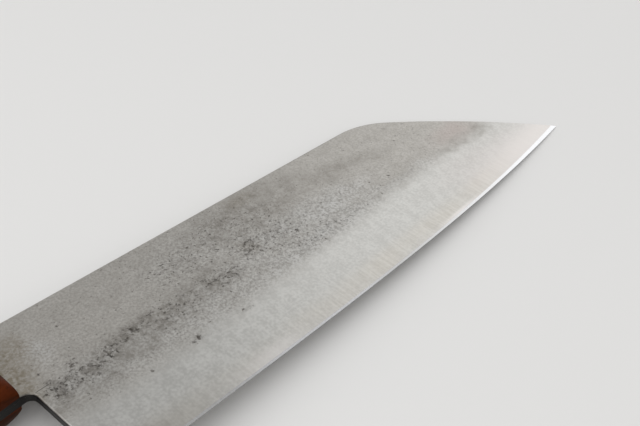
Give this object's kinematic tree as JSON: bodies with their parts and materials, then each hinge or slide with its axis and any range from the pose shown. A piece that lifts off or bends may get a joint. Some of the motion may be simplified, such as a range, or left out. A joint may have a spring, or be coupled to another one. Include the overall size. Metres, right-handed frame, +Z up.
{
  "type": "santoku knife",
  "caption": "Kitchen knife of the santoku kind with an angled clip point: laminated blade around a hard core, full tang between riveted wooden scales.",
  "frame": {"origin": "on the surface that the knife lies on, under the middle of its box", "axes": "+X towards the blade's point, +Y towards its spine, +Z up, out of the right face"},
  "size_m": [0.2856, 0.0494, 0.0223],
  "materials": {
    "core_steel": "ground satin bevel with a bright sharpened edge",
    "cladding_steel": "pear-skin forged grey above a satin bevel",
    "scale_wood": "oiled satin red-brown",
    "rivet_steel": "ground flush and polished"
  },
  "bodies": {
    "root": {"core_steel": "core_steel", "cladding_right": "cladding_steel", "cladding_left": "cladding_steel", "scale_right": "scale_wood", "scale_left": "scale_wood", "rivet_barrel_front": "rivet_steel", "rivet_barrel_middle": "rivet_steel", "rivet_barrel_rear": "rivet_steel", "rivet_stud_front": "rivet_steel", "rivet_stud_middle": "rivet_steel", "rivet_stud_rear": "rivet_steel"}
  },
  "joints": []
}
